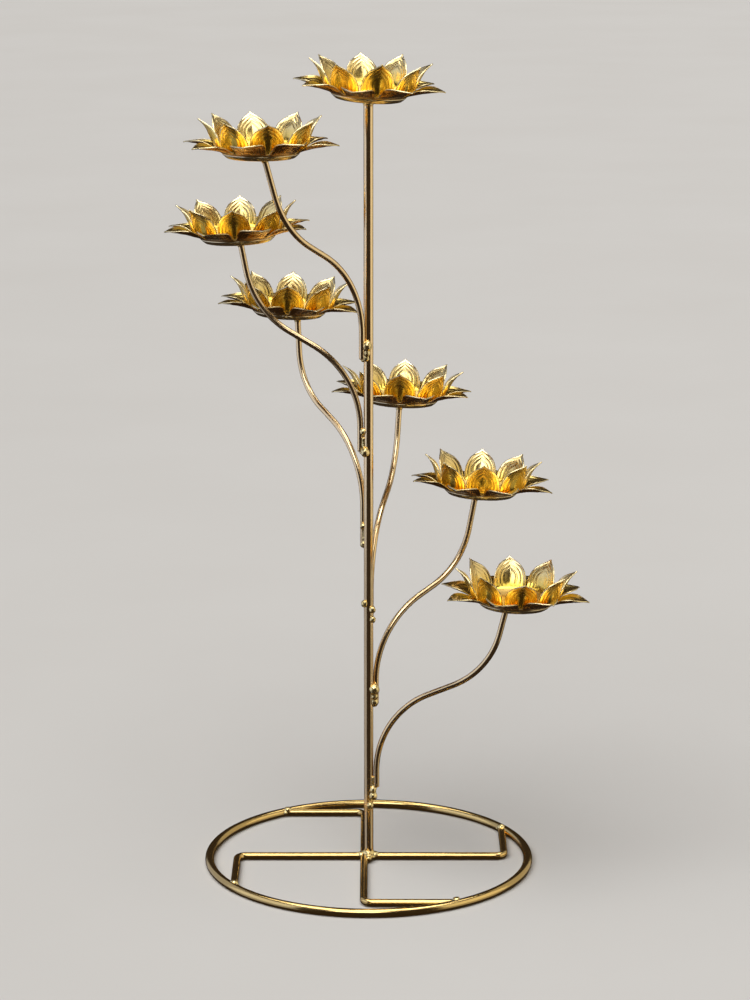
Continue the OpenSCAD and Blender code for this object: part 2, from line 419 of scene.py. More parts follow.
class Tier:
    """One stamped sheet: a dished disc that is slit into eight petals."""

    def __init__(self, profile, outline, arches, dimple, cup, focus,
                 disc_rows, petal_rows, columns, inside_painted_sheen, outside_shade):
        self.profile = smooth_line(profile, 400)
        self.outline = outline
        self.arches = arches
        self.dimple = dimple
        self.cup = cup
        self.focus = focus
        self.disc_rows = disc_rows
        self.petal_rows = petal_rows
        self.columns = columns
        self.around = PETALS * (columns - 1)
        self.inside_painted_sheen = inside_painted_sheen
        self.outside_shade = outside_shade

    def disc(self):
        """Radii, heights and slopes of the rows of the disc, out to the slits."""
        radius, height = self.profile.T
        flat_rows = self.disc_rows // 3
        r = np.concatenate([
            np.linspace(CENTRE_R, FLOOR_R - 2.5, flat_rows),
            np.linspace(FLOOR_R - 1.5, SLIT_R, self.disc_rows - flat_rows)
        ])
        slope = np.interp(r, radius, np.gradient(height) / np.gradient(radius))
        return r, np.interp(r, radius, height), slope

    def half_width(self, s, total, widened):
        """Half a petal's width at distances out from the slits, where it fills its sector."""
        at, half = np.array(self.outline, float).T
        width = np.interp(total - s, at, half) * widened
        sector = SLIT_R * math.radians(PETAL_STEP / 2)
        return width + (sector - width[0]) * (1 - smoothstep(0, NARROWING, s)) ** 2

    def petal(self, hand):
        """Middle surface, normals and finish of one petal that points along +X."""
        line = self.profile[self.profile[:, 0] >= SLIT_R]
        length = lengths_along(line)
        total = length[-1]
        # the rows are closer towards the tip, and the columns towards the sides
        share = 1 - (1 - np.linspace(0, 1, self.petal_rows + 1)) ** 1.25
        u = np.linspace(-1, 1, self.columns)
        u = np.sign(u) * (1 - (1 - np.abs(u)) ** 1.12)
        s = share * total
        x = self.half_width(s, total, hand["width"])[:, None] * u[None, :]
        r = np.interp(s, length, line[:, 0])
        z = np.interp(s, length, line[:, 1])
        tangent = unit(np.stack([np.gradient(r, s), np.gradient(z, s)], 1))
        inward = np.stack([-tangent[:, 1], tangent[:, 0]], 1)
        back = np.repeat((total - s)[:, None], self.columns, 1)
        scale = petal_scale(x, back, self.outline, self.focus * total)
        clear = smoothstep(*ARCHES_FADE, s)[:, None]
        raised = emboss(scale, self.arches, self.dimple) * clear
        # a row is bent round the lotus's axis at the root and cupped by its own curve above
        near = 1 - smoothstep(0, ROOT_ROUND, s)[:, None, None]
        round_axis = np.stack([
            r[:, None] * np.cos(x / r[:, None]), r[:, None] * np.sin(x / r[:, None]),
            np.repeat(z[:, None], self.columns, 1)
        ], 2)
        cup_r = 1 / (np.interp(share, CUP_PLACES, self.cup) * hand["cup"])[:, None]
        depth = cup_r * (1 - np.cos(x / cup_r))
        cupped = np.stack([
            r[:, None] + inward[:, 0:1] * depth, cup_r * np.sin(x / cup_r),
            z[:, None] + inward[:, 1:2] * depth
        ], 2)
        surface = self.bend(round_axis * near + cupped * (1 - near), s, hand)
        surface = surface + sheet_normals(surface) * raised[:, :, None]
        finish = {
            "relief": emboss(scale, self.arches, NO_DIMPLE) * clear,
            "rim": smoothstep(0.86, 1.0, scale) * smoothstep(*RIM_FADE, s)[:, None],
            "out": np.repeat(share[:, None], self.columns, 1),
        }
        return surface, sheet_normals(surface), finish

    def bend(self, surface, s, hand):
        """Leans, twists and turns a petal the little that hand work leaves."""
        root = surface[0, self.columns // 2]
        moved = surface.copy()
        for k, w in enumerate(smoothstep(0, HAND_BEND, s)):
            turn = Euler((hand["twist"] * w, hand["lean"] * w, hand["sway"] * w)).to_matrix()
            moved[k] = (surface[k] - root) @ np.array(turn).T + root
        return moved

    def add_disc(self, skin):
        """The disc. Gives the outermost upper and lower rows and the rims of the slits' ends."""
        r, z, slope = self.disc()
        upper, lower = [], []
        for radius, height, rise in zip(r, z, slope):
            fall = math.hypot(1, rise)
            row_upper, row_lower = [], []
            for k in range(self.around):
                a = math.radians(PETAL_STEP * (k / (self.columns - 1) - 0.5))
                n = np.array([-rise * math.cos(a), -rise * math.sin(a), 1]) / fall
                p = np.array([radius * math.cos(a), radius * math.sin(a), height])
                row_upper.append(skin.add(p + n * SHEET / 2, angle=a))
                row_lower.append(skin.add(p - n * SHEET / 2, angle=a, shade=self.outside_shade))
            upper.append(row_upper)
            lower.append(row_lower)
        for a, b in zip(upper, upper[1:]):
            skin.faces += flipped(quads(a + a[:1], b + b[:1]))
        for a, b in zip(lower, lower[1:]):
            skin.faces += quads(a + a[:1], b + b[:1])
        skin.faces.append(tuple(upper[0]))
        skin.faces += flipped([lower[0]])

        slit_ends = []
        flattened = 0.8
        for k in range(PETALS):
            a = math.radians(PETAL_STEP * (k + 0.5))
            normal = unit(np.array([-slope[-1] * math.cos(a), -slope[-1] * math.sin(a), 1]))
            out = unit(np.array([math.cos(a), math.sin(a), slope[-1]])) * flattened
            end = np.array([r[-1] * math.cos(a), r[-1] * math.sin(a), z[-1]])
            slit_ends.append([skin.add(p, angle=a) for p in rounded_edge(end, normal, out)])
        return upper[-1], lower[-1], slit_ends

    def edge_out(self, surface, normals, i, j):
        """The direction out of a petal's edge, in the sheet's plane."""
        out = np.zeros(3)
        if j in (0, self.columns - 1):
            step = 1 if j else -1
            out += unit(surface[i, j] - surface[i, j - step])
        if i == self.petal_rows:
            out += unit(surface[i, j] - surface[i - 1, j]) * 1.2
        return unit(out - normals[i, j] * out.dot(normals[i, j]))

    def add_petal(self, skin, k, hand, upper_row, lower_row, slit_ends):
        """Petal number k: both its sides, and the rounded rim that joins them."""
        surface, normals, look = self.petal(hand)
        a = math.radians(PETAL_STEP * k)
        spin = np.array(Matrix.Rotation(a, 3, "Z")).T
        surface, normals = surface @ spin, normals @ spin
        per = self.columns - 1
        columns = [(k * per + c) % self.around for c in range(self.columns)]
        upper = [[upper_row[c] for c in columns]]
        lower = [[lower_row[c] for c in columns]]
        for i in range(1, self.petal_rows + 1):
            upper.append([])
            lower.append([])
            for j in range(self.columns):
                same = {"rim": look["rim"][i, j], "out": look["out"][i, j], "angle": a}
                relief = look["relief"][i, j]
                side = normals[i, j] * SHEET / 2
                upper[i].append(skin.add(surface[i, j] + side, relief=relief,
                                         bright=self.inside_painted_sheen, **same))
                lower[i].append(skin.add(surface[i, j] - side, relief=relief * OUTSIDE_ARCH_DARKENING,
                                         shade=self.outside_shade, **same))
        for i in range(self.petal_rows):
            skin.faces += flipped(quads(upper[i], upper[i + 1]))
            skin.faces += quads(lower[i], lower[i + 1])

        # the rim runs up one edge, across the tip and down the other edge
        edge = [(i, self.columns - 1) for i in range(1, self.petal_rows + 1)]
        edge += [(self.petal_rows, j) for j in range(self.columns - 2, -1, -1)]
        edge += [(i, 0) for i in range(self.petal_rows - 1, 0, -1)]
        rims = [[number] for number in slit_ends[k]]
        for i, j in edge:
            out = self.edge_out(surface, normals, i, j)
            for rim, p in zip(rims, rounded_edge(surface[i, j], normals[i, j], out)):
                rim.append(skin.add(p, rim=1.0, out=look["out"][i, j], angle=a))
        for rim, number in zip(rims, slit_ends[k - 1]):
            rim.append(number)
        first, last = columns[-1], columns[0]
        top = [upper_row[first]] + [upper[i][j] for i, j in edge] + [upper_row[last]]
        bottom = [lower_row[first]] + [lower[i][j] for i, j in edge] + [lower_row[last]]
        for a_row, b_row in zip([top] + rims, rims + [bottom]):
            skin.faces += quads(b_row, a_row)

    def build(self, rng, droop, raised):
        """The whole tier as points, faces and finish, with some petals bent up by hand."""
        skin = Skin()
        ends = self.add_disc(skin)
        for k in range(PETALS):
            self.add_petal(skin, k, hand_work(rng, droop - raised.get(k, 0)), *ends)
        skin.finish["radius"] = [math.hypot(p[0], p[1]) for p in skin.points]
        return skin.points, skin.faces, skin.finish


# The cup is one over the radius of a petal's cupping, at each of CUP_PLACES
INNER_TIER = Tier(
    INNER_PROFILE, INNER_OUTLINE, INNER_ARCHES, INNER_DIMPLE,
    cup=(1 / 27, 1 / 21, 1 / 19, 1 / 16), focus=0.57,
    disc_rows=12, petal_rows=60, columns=49, inside_painted_sheen=1.0, outside_shade=0.0)
OUTER_TIER = Tier(
    OUTER_PROFILE, OUTER_OUTLINE, OUTER_ARCHES, NO_DIMPLE,
    cup=(1 / 26, 1 / 22, 1 / 20, 1 / 15), focus=0.6,
    disc_rows=9, petal_rows=36, columns=33, inside_painted_sheen=0.4, outside_shade=1.0)


def saucer():
    """The dished disc under the petals, with a rounded rim."""
    line = smooth_line(SAUCER_PROFILE, 22)
    normal = unit(np.stack([-np.gradient(line[:, 1]), np.gradient(line[:, 0])], 1))
    rim = rounded_edge(line[-1], normal[-1], unit(line[-1] - line[-2]))
    top, low = line + normal * SHEET / 2, line - normal * SHEET / 2
    loop = np.vstack([top, rim, low[::-1]])
    n = len(loop)
    sides = 96
    points, faces, angles = [], [], []
    for s in range(sides):
        a = 2 * math.pi * s / sides
        for r, z in loop:
            points.append((r * math.cos(a), r * math.sin(a), z))
            angles.append(a)
        here = range(s * n, s * n + n)
        there = range((s + 1) % sides * n, (s + 1) % sides * n + n)
        faces += flipped(quads(here, there))
    faces.append(tuple(s * n for s in range(sides)))
    faces += flipped([[s * n + n - 1 for s in range(sides)]])
    radii = [math.hypot(p[0], p[1]) for p in points]
    finish = {"angle": angles, "radius": radii, "out": [min(1.0, r / SAUCER_R) for r in radii]}
    # the rim takes the outer eighth
    finish["rim"] = [max(0.0, 1 - (1 - share) * 8) for share in finish["out"]]
    return points, faces, finish


# ---------------------------------------------------------------- materials

class Nodes:
    """Short calls for building a node tree."""

    def __init__(self, tree):
        self.tree = tree
        tree.nodes.clear()

    def add(self, kind, inputs=None, **settings):
        node = self.tree.nodes.new(kind)
        for key, value in settings.items():
            setattr(node, key, value)
        for key, value in (inputs or {}).items():
            if isinstance(value, bpy.types.NodeSocket):
                self.tree.links.new(value, node.inputs[key])
            else:
                node.inputs[key].default_value = value
        return node

    def place(self):
        return self.add("ShaderNodeTexCoord").outputs["Object"]

    def attribute(self, name):
        return self.add("ShaderNodeAttribute", attribute_name=name).outputs["Fac"]

    def noise(self, vector, scale, detail=4, rough=0.55):
        inputs = {"Vector": vector, "Scale": scale, "Detail": detail, "Roughness": rough}
        return self.add("ShaderNodeTexNoise", inputs).outputs["Fac"]

    def math(self, operation, a, b=0.0):
        return self.add("ShaderNodeMath", {0: a, 1: b}, operation=operation).outputs[0]

    def times(self, a, b):
        return self.math("MULTIPLY", a, b)

    def plus(self, a, b):
        return self.math("ADD", a, b)

    def ramp(self, value, *stops):
        """A value remade by stops, each as (value, what it becomes)."""
        node = self.add("ShaderNodeValToRGB", {"Fac": value})
        elements = node.color_ramp.elements
        while len(elements) < len(stops):
            elements.new(0.5)
        for element, (place, grey) in zip(elements, stops):
            element.position = place
            element.color = (grey, grey, grey, 1)
        return node.outputs["Color"]

    def mix(self, factor, a, b):
        """Colours a and b mixed; 0 is all a."""
        factor_input, a_input, b_input, colour_output = 0, 6, 7, 2
        node = self.add("ShaderNodeMix", {factor_input: factor}, data_type="RGBA")
        for socket, colour in ((a_input, a), (b_input, b)):
            if isinstance(colour, bpy.types.NodeSocket):
                self.tree.links.new(colour, node.inputs[socket])
            else:
                node.inputs[socket].default_value = (*colour, 1)
        return node.outputs[colour_output]

    def scale(self, low, high, value):
        inputs = {"Value": value, "To Min": low, "To Max": high}
        return self.add("ShaderNodeMapRange", inputs).outputs[0]

    def vector(self, x, y, z):
        return self.add("ShaderNodeCombineXYZ", {0: x, 1: y, 2: z}).outputs[0]

    def bump(self, height, strength, distance, normal=None):
        inputs = {"Height": height, "Strength": strength, "Distance": distance}
        if normal is not None:
            inputs["Normal"] = normal
        return self.add("ShaderNodeBump", inputs).outputs[0]

    def finish(self, colour, roughness, normal, coat):
        shader = self.add("ShaderNodeBsdfPrincipled", {
            "Base Color": colour, "Metallic": 1.0, "Roughness": roughness, "Normal": normal,
            "Coat Weight": coat, "Coat Roughness": 0.06,
        })
        self.add("ShaderNodeOutputMaterial", {"Surface": shader.outputs[0]})


def new_material(name):
    material = bpy.data.materials.new(name)
    material.use_nodes = True
    return material, Nodes(material.node_tree)


def rod_material(name, light, dark, worn, smooth):
    """Drawn and polished rod: lines along it, cloudy lacquer and a few rubbed places."""
    material, n = new_material(name)
    place = n.place()
    around = n.attribute("around")
    lines_across = 3.0
    lines_along = 0.012
    drawn_place = n.vector(n.times(n.math("COSINE", around), lines_across),
                           n.times(n.math("SINE", around), lines_across),
                           n.times(n.attribute("along"), lines_along))
    drawn = n.noise(drawn_place, scale=9.0, detail=3)
    cloud = n.noise(place, scale=38.0, detail=3)
    colour = n.mix(n.scale(0.1, 0.9, cloud), light, dark)
    colour = n.mix(n.times(n.math("POWER", drawn, 2.0), 0.5), colour, worn)
    rubbed = n.ramp(n.noise(place, scale=260.0, detail=5, rough=0.62), (0.60, 0), (0.72, 1))
    colour = n.mix(n.times(rubbed, 0.35), colour, dark)
    lacquer = n.scale(*smooth, n.noise(place, scale=90.0, detail=5))
    roughness = n.plus(lacquer, n.times(drawn, 0.06))
    normal = n.bump(drawn, strength=0.05, distance=0.0001)
    waves = n.noise(place, scale=45.0, detail=2)
    normal = n.bump(waves, strength=0.16, distance=0.0006, normal=normal)
    n.finish(colour, roughness, normal, coat=0.12)
    return material


UNDERSIDE_SHADE = (0.42, 0.16, 0.03)
FLAT_MIDDLE = (0.72, 0.50, 0.20)


def sheet_material(name, light, deep, tip, groove, polished_and_sheen, smooth, spun):
    """Stamped sheet: paler at its tips and rims, deeper in colour down in its arches."""
    material, n = new_material(name)
    place = n.place()
    out = n.attribute("out")
    colour = n.mix(n.noise(place, scale=60.0), light, deep)
    colour = n.mix(n.ramp(out, (0.45, 0), (1.0, 0.6)), colour, tip)
    # painted highlight: the upper side of each petal is made paler from near its root out, fully on
    # the upper petals and less on the lower ones, towards the pale colour that the worn rims also
    # take
    painted_sheen = n.times(n.attribute("bright"), n.ramp(out, (0.15, 0), (0.55, 1)))
    colour = n.mix(n.times(painted_sheen, 0.36), colour, polished_and_sheen)
    # relief runs from 0 on the plain sheet down to -0.3 and less in the arches
    hollow = n.ramp(n.plus(n.times(n.attribute("relief"), 0.9), 0.5),
                    (0.0, 1), (0.42, 0.25), (0.62, 0))
    # tarnish and painted shade: the arches' hollows are darkened towards the groove colour, more
    # strongly outside a petal
    tarnish_and_shade = n.times(hollow, n.scale(0.35, 1.0, n.noise(place, scale=240.0)))
    colour = n.mix(n.times(tarnish_and_shade, 0.75), colour, groove)
    worn = n.times(n.attribute("rim"), n.scale(0.3, 1.0, n.noise(place, scale=420.0, detail=3)))
    colour = n.mix(n.times(worn, 0.8), colour, polished_and_sheen)
    # painted shade: the undersides of the lower petals and of their disc are darkened towards a
    # deep brown
    colour = n.mix(n.times(n.attribute("shade"), 0.8), colour, UNDERSIDE_SHADE)
    if spun:
        flat = 1.0
    else:
        flat = n.ramp(out, (0.0, 1), (0.06, 0))
        colour = n.mix(n.times(flat, 0.75), colour, FLAT_MIDDLE)
    # the flat middle, or all of a spun sheet, is duller and keeps the rings of the lathe
    lacquer = n.scale(*smooth, n.noise(place, scale=150.0, detail=5))
    roughness = n.plus(lacquer, n.plus(n.times(tarnish_and_shade, 0.16), n.times(flat, 0.12)))
    ring_place = n.vector(n.times(n.attribute("radius"), 1.4), n.attribute("angle"), 0.0)
    rings = n.noise(ring_place, scale=1.0, detail=3)
    normal = n.bump(n.noise(place, scale=900.0, detail=3), strength=0.05, distance=0.0001)
    normal = n.bump(rings, strength=n.times(flat, 0.22), distance=0.0003, normal=normal)
    waves = n.noise(place, scale=110.0, detail=2)
    normal = n.bump(waves, strength=0.09, distance=0.0005, normal=normal)
    n.finish(colour, roughness, normal, coat=0.10)
    return material


def braze_material():
    """Braze filler: paler than the rods, rippled and smoked a little in patches."""
    material, n = new_material("brass_braze")
    place = n.place()
    colour = n.mix(n.noise(place, scale=420.0), (1.0, 0.88, 0.50), (0.96, 0.70, 0.26))
    smoke = n.ramp(n.noise(place, scale=800.0, detail=5, rough=0.65), (0.56, 0), (0.70, 1))
    colour = n.mix(n.times(smoke, 0.30), colour, (0.34, 0.18, 0.08))
    roughness = n.scale(0.18, 0.34, n.noise(place, scale=600.0))
    ripples = n.noise(place, scale=700.0, detail=3)
    normal = n.bump(ripples, strength=0.30, distance=0.0004)
    n.finish(colour, roughness, normal, coat=0.1)
    return material


ROD = rod_material(
    "brass_rod", light=(0.96, 0.75, 0.43), dark=(0.86, 0.58, 0.28), worn=(1.0, 0.90, 0.66),
    smooth=(0.09, 0.19))
RING = rod_material(
    "brass_ring", light=(0.90, 0.66, 0.26), dark=(0.78, 0.50, 0.15), worn=(0.98, 0.84, 0.48),
    smooth=(0.10, 0.20))
PETAL = sheet_material(
    "brass_petal", light=(1.0, 0.74, 0.15), deep=(0.98, 0.66, 0.08), tip=(1.0, 0.82, 0.34),
    groove=(0.56, 0.27, 0.03), polished_and_sheen=(1.0, 0.94, 0.74), smooth=(0.17, 0.27), spun=False)
SAUCER = sheet_material(
    "brass_saucer", light=(1.0, 0.78, 0.36), deep=(0.88, 0.58, 0.20), tip=(1.0, 0.86, 0.52),
    groove=(0.45, 0.25, 0.08), polished_and_sheen=(1.0, 0.92, 0.68), smooth=(0.06, 0.18), spun=True)
BRAZE = braze_material()


# ---------------------------------------------------------------- floor ring, pole and branches

def size_of(node):
    low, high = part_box(node)
    return low / MM, high / MM


def build_floor():
    """The ring and the cross. Gives the ring's radius and the height of the rods' middle."""
    low, high = size_of("floor_ring")
    rod_r = (high.z - low.z) / 2
    ring_r = (high.x - low.x) / 2 - rod_r
    middle_z = (high.z + low.z) / 2
    circle = turned(arc((0, 0), ring_r, 0, 360, 240)[:-1], 0, middle_z)
    make_piece("ring_rod", *swept_rod(circle, rod_r, 32, closed=True), RING, "ring_brass",
               "floor_ring")

    right, left = (turned(arm_path(shape, ring_r, 0), shape[0], middle_z)
                   for shape in (RIGHT_ARM, LEFT_ARM))
    through = smooth_line(right[::-1] + left[1:], 300)
    make_piece("cross_through_rod", *swept_rod(through, ARM_R, 26, seed=3), RING, "rod_brass",
               "cross_rod")
    for node, shape in (("front_arm", FRONT_ARM), ("back_arm", BACK_ARM)):
        angle = shape[0]
        arm = smooth_line(turned(arm_path(shape, ring_r, SHORT_ARM_START), angle, middle_z), 150)
        make_piece(f"cross_{node}", *swept_rod(arm, ARM_R, 26, seed=angle), RING, "rod_brass", node)
    return ring_r, middle_z


def build_pole():
    """The upright pole. Gives its radius."""
    low, high = size_of("pole")
    radius = (high.x - low.x) / 2
    rows = 90
    line = [(0, 0, low.z + (high.z - low.z) * k / rows) for k in range(rows + 1)]
    make_piece("pole_rod", *swept_rod(line, radius, 32, seed=5), ROD, "rod_brass", "pole")
    return radius


def build_branch(number, lotus_middle, pole_r):
    """One branch. Gives its level direction, the height of its foot and its centreline."""
    node = f"branch_{number}"
    across = level(math.atan2(lotus_middle.y, lotus_middle.x))
    foot_out = pole_r + BRAZE_GAP + BRANCH_R
    foot_z = size_of(node)[0].z
    path = [tuple(across * (foot_out + x) + upward(foot_z + z))
            for x, z in branch_path(BRANCHES[number - 1])]
    line = smooth_line(path, 110)
    rod = swept_rod(line, BRANCH_R, 24, seed=number, round_start=True)
    make_piece(f"branch_rod_{number}", *rod, ROD, "rod_brass", node)
    return across, foot_z, line


# ---------------------------------------------------------------- braze

BEAD_CELL = 0.42
BEAD_RIPPLE_SCALE = 0.6
UNTURNED = Matrix.Identity(3)

# The seam up each side of a branch's foot: its share of the straight foot, the number of
# lumps, how far they stand to the side, their radii and how unevenly they are laid
SEAM_SHARE = 0.6
SEAM_LUMPS = 5
SEAM_SIDE = 1.35
SEAM_RADII = (1.15, 1.15, 1.9)
SEAM_SWELL = 0.25
SEAM_SLIP = 0.5
SEAM_FOOT = (1.9, 1.9, 1.6)

# Lumps under a lotus, as (distance back down the rod, radii), and the splashes round them
CUP_LUMPS = [(0.2, (3.1, 3.1, 1.5)), (1.7, (2.45, 2.45, 1.9))]
TOP_CUP_LUMPS = [(0.6, (4.7, 4.7, 1.4)), (2.4, (3.8, 3.8, 2.0))]
SPLASHES = 3
SPLASH_OUT = 2.3
SPLASH_BACK = 0.3
SPLASH_RADII = (1.2, 1.2, 0.8)
SPLASH_TURN = 6.28

# Lumps on the crossing's axis, as (height above the arms' middle, radii), and then those of
# each arm and of the corner after it, as (distance out, height, radii)
HUB_LUMPS = [(1.6, (4.3, 4.3, 2.3)), (3.4, (3.7, 3.7, 2.2))]
HUB_ARM_LUMPS = [(4.6, 1.0, (2.8, 2.8, 2.2)), (7.2, 0.6, (1.9, 1.9, 2.1))]
HUB_ARM_SPREAD = (-0.4, 0.6)
HUB_CORNER = (3.6, 0.3, (1.8, 1.8, 1.7))
HUB_CORNER_TURN = 0.8

# Lumps where an arm runs into the ring: place from the ring's middle line (out, along the
# arm's end and up) and radius, which is spread and flattened
RING_LUMPS = [
    (0.0, -3.6, 1.76, 2.7), (-1.9, -1.9, 0.40, 1.7), (2.0, -5.4, 0.64, 1.9),
    (0.9, -4.4, 1.36, 1.5), (2.4, -6.8, 0.08, 1.3)
]
RING_LUMP_SPREAD = 1.1
RING_LUMP_HEIGHT = 0.9
RING_LUMP_UNEVEN = 0.1


def bead(name, lumps, ripple, seed):
    """Braze: overlapping lumps (centre, radii, turn) run together into smooth drops."""
    shape = bmesh.new()
    for centre, radii, turn in lumps:
        spot = Matrix.Translation(Vector(centre) * MM) @ turn.to_4x4()
        size = Matrix.Diagonal([r * MM for r in radii] + [1])
        bmesh.ops.create_icosphere(shape, subdivisions=3, radius=1, matrix=spot @ size)
    mesh = bpy.data.meshes.new(name + "_lumps")
    shape.to_mesh(mesh)
    shape.free()
    holder = bpy.data.objects.new(name + "_lumps", mesh)
    bpy.context.scene.collection.objects.link(holder)
    remesh = holder.modifiers.new("run_together", "REMESH")
    remesh.mode = "VOXEL"
    remesh.voxel_size = BEAD_CELL * MM
    smooth = holder.modifiers.new("flow", "SMOOTH")
    smooth.factor = 0.6
    smooth.iterations = 7
    graph = bpy.context.evaluated_depsgraph_get()
    result = bpy.data.meshes.new_from_object(holder.evaluated_get(graph))
    bpy.data.objects.remove(holder)
    bpy.data.meshes.remove(mesh)
    offset = Vector((seed, 2 * seed, 0))
    points = []
    for vertex in result.vertices:
        place = vertex.co / MM
        wave = noise.noise(place * BEAD_RIPPLE_SCALE + offset)
        points.append(place + vertex.normal * ripple * wave)
    faces = [tuple(p.vertices) for p in result.polygons]
    bpy.data.meshes.remove(result)
    return points, faces, {}


def branch_braze(feet, pole_r, rng):
    """A lumpy seam up both sides of each branch's foot, and the drops round it."""
    lumps = []
    seam = pole_r + BRAZE_GAP / 2
    for shape, drops, (across, foot_z, _) in zip(BRANCHES, BRAZE_DROPS, feet):
        side = Vector((-across.y, across.x, 0))
        height = shape[0] * SEAM_SHARE
        for k in range(SEAM_LUMPS):
            z = foot_z + height * (k + 0.2) / SEAM_LUMPS
            swell = 1.0 + SEAM_SWELL * rng.uniform(-1, 1)
            radii = (SEAM_RADII[0] * swell, SEAM_RADII[1] * swell, SEAM_RADII[2])
            for s in (-1, 1):
                slip = rng.uniform(-SEAM_SLIP, SEAM_SLIP)
                spot = across * (seam - 0.1) + side * s * SEAM_SIDE + upward(z + slip)
                lumps.append((spot, radii, UNTURNED))
        lumps.append((across * (seam + 1.0) + upward(foot_z - 0.1), SEAM_FOOT, UNTURNED))
        for turn, height, radius in drops:
            spot = Matrix.Rotation(math.radians(turn), 3, "Z") @ across * (pole_r + DROP_OUT)
            radii = (radius, radius, radius * 1.15)
            lumps.append((spot + upward(foot_z + height), radii, UNTURNED))
    return bead("branch_braze", lumps, ripple=0.30, seed=11)


def cup_braze(tips, top_middle, rng):
    """A drop of braze where each rod meets its lotus."""
    lumps = []
    for tip, along in tips:
        turn = along.to_track_quat("Z", "Y").to_matrix()
        for back, radii in CUP_LUMPS:
            lumps.append((tip - along * back, radii, turn))
        for _ in range(SPLASHES):
            a = rng.uniform(0, SPLASH_TURN)
            spot = turn @ (level(a) * SPLASH_OUT - upward(SPLASH_BACK))
            lumps.append((tip + spot, SPLASH_RADII, turn))
    for back, radii in TOP_CUP_LUMPS:
        lumps.append((top_middle - upward(back), radii, UNTURNED))
    return bead("cup_braze", lumps, ripple=0.25, seed=23)


def hub_braze(middle_z, rng):
    """The mound at the crossing, run a little way out along each arm."""
    lumps = [(upward(middle_z + height), radii, UNTURNED) for height, radii in HUB_LUMPS]
    for angle in (0, 90, 180, 270):
        a = math.radians(angle)
        further = rng.uniform(*HUB_ARM_SPREAD)
        for reach, height, radii in HUB_ARM_LUMPS:
            spot = level(a) * (reach + further) + upward(middle_z + height)
            lumps.append((spot, radii, UNTURNED))
        reach, height, radii = HUB_CORNER
        spot = level(a + HUB_CORNER_TURN) * reach + upward(middle_z + height)
        lumps.append((spot, radii, UNTURNED))
    return bead("hub_braze", lumps, ripple=0.35, seed=31)


def ring_braze(ring_r, middle_z, rng):
    """A bead in the crook where each arm runs into the ring."""
    lumps = []
    for angle, reach, _ in (RIGHT_ARM, BACK_ARM, LEFT_ARM, FRONT_ARM):
        run = math.sqrt(ring_r ** 2 - reach ** 2)
        turn = Matrix.Rotation(math.radians(angle), 3, "Z")
        for out, along, up, r in RING_LUMPS:
            spot = turn @ Vector((reach + out, run + along, middle_z + up))
            thick = r * RING_LUMP_HEIGHT + rng.uniform(-RING_LUMP_UNEVEN, RING_LUMP_UNEVEN)
            radii = (r * RING_LUMP_SPREAD, r * RING_LUMP_SPREAD, thick)
            lumps.append((spot, radii, UNTURNED))
    return bead("ring_braze", lumps, ripple=0.3, seed=43)


# ---------------------------------------------------------------- the lamp

def lotus_places():
    """Each lotus's underside as a matrix in millimetres, from its seat in the record."""
    seats = {m["name"]: m for m in frame["record"]["mounts"]}
    places = {}
    for name, spin, _ in LOTUSES:
        seat = seats[f"tealight_seat_{name}"]
        axis = Vector(seat["axis"]).normalized()
        middle = Vector(seat["pos_m"]) / MM - axis * SEAT_ABOVE_UNDERSIDE
        turn = (Matrix.Rotation(math.atan2(axis.x, axis.z), 4, "Y")
                @ Matrix.Rotation(-math.asin(axis.y), 4, "X")
                @ Matrix.Rotation(math.radians(spin), 4, "Z"))
        places[name] = Matrix.Translation(middle) @ turn
    return places


def build_lotus(name, place, droop, rng):
    """Saucer, lower petals and upper petals, nested on one another."""
    between = Matrix.Rotation(math.radians(PETAL_STEP / 2), 3, "Z")
    top_raised = TOP_RAISED if name == "top" else {}
    parts = [
        ("saucer", saucer(), UNTURNED, SAUCER, "saucer_brass"),
        ("outer_petals", OUTER_TIER.build(rng, droop, FRONT_RAISED), between, PETAL, "petal_brass"),
        ("inner_petals", INNER_TIER.build(rng, 0, top_raised), UNTURNED, PETAL, "petal_brass"),
    ]
    for part, (points, faces, finish), step, material, slot in parts:
        turn = np.array(place.to_3x3() @ step)
        points = np.asarray(points) @ turn.T + np.array(place.translation)
        make_piece(f"lotus_{name}_{part}", points, faces, finish, material, slot,
                   f"{part}_{name}")


def build_lamp():
    rng = random.Random(SEED)
    places = lotus_places()
    ring_r, middle_z = build_floor()
    pole_r = build_pole()
    feet = [build_branch(k + 1, places[str(k + 1)].translation, pole_r)
            for k in range(len(BRANCHES))]
    tips = [(Vector(line[-1]), Vector(line[-1] - line[-4]).normalized()) for _, _, line in feet]
    top = places["top"].translation
    make_piece("branch_braze", *branch_braze(feet, pole_r, rng), BRAZE, "braze", "pole_welds")
    make_piece("cup_braze", *cup_braze(tips, top, rng), BRAZE, "braze", "cup_welds")
    make_piece("hub_braze", *hub_braze(middle_z, rng), BRAZE, "braze", "hub_weld")
    make_piece("ring_braze", *ring_braze(ring_r, middle_z, rng), BRAZE, "braze", "ring_welds")
    for name, _, droop in LOTUSES:
        build_lotus(name, places[name], droop, rng)


# ---------------------------------------------------------------- studio

STAGE_R = 14.0
STAGE_TONES = ((0.62, 0.60, 0.57), (0.66, 0.645, 0.62))
BACKDROP = (0.50, 0.49, 0.47, 1)
# What the metal mirrors where no softbox is
DARK_ROOM = (0.030, 0.021, 0.014, 1)

